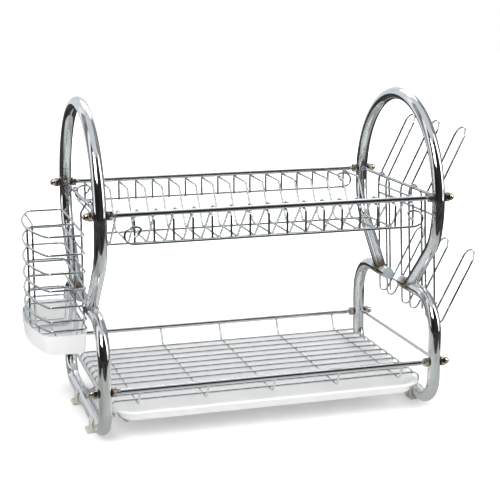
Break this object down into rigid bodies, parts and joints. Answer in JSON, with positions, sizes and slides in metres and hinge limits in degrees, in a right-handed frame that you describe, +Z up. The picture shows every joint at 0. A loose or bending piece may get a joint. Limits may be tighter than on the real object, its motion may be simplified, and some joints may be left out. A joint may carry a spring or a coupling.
{
  "type": "two-tier dish drainer",
  "caption": "Two-tier chrome wire dish drainer with round tube side frames, plate rack, dish basket, drip tray, hung cutlery basket with cup, and a board and mug holder.",
  "frame": {"origin": "the middle between the two side frames, on the floor level of the soles", "axes": "+X along the length to the end with the board holder, -Y to the front, +Z up"},
  "size_m": [0.5435, 0.2609, 0.38],
  "materials": {
    "chrome_tube": "mirror-bright chrome plating on tube",
    "chrome_wire": "chrome plating on wire",
    "nickel": "warm bright nickel plating",
    "black_rubber": "black rubber washer",
    "grey_plastic": "blue-grey plastic plug",
    "clear_plastic": "translucent pale plastic",
    "white_plastic": "translucent white plastic"
  },
  "bodies": {
    "frame": {"left_upper_ring_tube": "chrome_tube", "left_lower_tube": "chrome_tube", "left_tray_rail": "chrome_wire", "left_front_end_cap": "grey_plastic", "left_front_foot": "clear_plastic", "left_rear_end_cap": "grey_plastic", "left_rear_foot": "clear_plastic", "left_upper_end_bar": "chrome_wire", "left_upper_front_hex_nut": "nickel", "left_upper_front_domed_nut": "nickel", "left_upper_front_outer_washer": "black_rubber", "left_upper_front_inner_washer": "black_rubber", "left_upper_rear_hex_nut": "nickel", "left_upper_rear_domed_nut": "nickel", "left_upper_rear_outer_washer": "black_rubber", "left_upper_rear_inner_washer": "black_rubber", "left_lower_end_bar": "chrome_wire", "left_lower_front_hex_nut": "nickel", "left_lower_front_domed_nut": "nickel", "left_lower_front_outer_washer": "black_rubber", "left_lower_front_inner_washer": "black_rubber", "left_lower_rear_hex_nut": "nickel", "left_lower_rear_domed_nut": "nickel", "left_lower_rear_outer_washer": "black_rubber", "left_lower_rear_inner_washer": "black_rubber", "right_upper_ring_tube": "chrome_tube", "right_lower_tube": "chrome_tube", "right_tray_rail": "chrome_wire", "right_front_end_cap": "grey_plastic", "right_front_foot": "clear_plastic", "right_rear_end_cap": "grey_plastic", "right_rear_foot": "clear_plastic", "right_upper_end_bar": "chrome_wire", "right_upper_front_hex_nut": "nickel", "right_upper_front_domed_nut": "nickel", "right_upper_front_outer_washer": "black_rubber", "right_upper_front_inner_washer": "black_rubber", "right_upper_rear_hex_nut": "nickel", "right_upper_rear_domed_nut": "nickel", "right_upper_rear_outer_washer": "black_rubber", "right_upper_rear_inner_washer": "black_rubber", "right_lower_end_bar": "chrome_wire", "right_lower_front_hex_nut": "nickel", "right_lower_front_domed_nut": "nickel", "right_lower_front_outer_washer": "black_rubber", "right_lower_front_inner_washer": "black_rubber", "right_lower_rear_hex_nut": "nickel", "right_lower_rear_domed_nut": "nickel", "right_lower_rear_outer_washer": "black_rubber", "right_lower_rear_inner_washer": "black_rubber", "upper_plate_rack": "chrome_wire", "lower_dish_basket": "chrome_wire"},
    "tray": {"drip_tray": "white_plastic"},
    "cutlery_basket": {"cutlery_basket": "chrome_wire"},
    "drip_cup": {"cutlery_drip_cup": "white_plastic"},
    "board_holder": {"board_and_cup_holder": "chrome_wire"}
  },
  "joints": [
    {"name": "tray_slide", "type": "slide", "parent": "frame", "child": "tray", "axis": [0, -1, 0], "range_m": [0, 0.25]},
    {"name": "cutlery_basket_lift", "type": "slide", "parent": "frame", "child": "cutlery_basket", "axis": [0, 0, 1], "range_m": [0, 0.06]},
    {"name": "drip_cup_pull", "type": "slide", "parent": "cutlery_basket", "child": "drip_cup", "axis": [0, 0, -1], "range_m": [0, 0.05]},
    {"name": "board_holder_lift", "type": "slide", "parent": "frame", "child": "board_holder", "axis": [0, 0, 1], "range_m": [0, 0.06]}
  ]
}
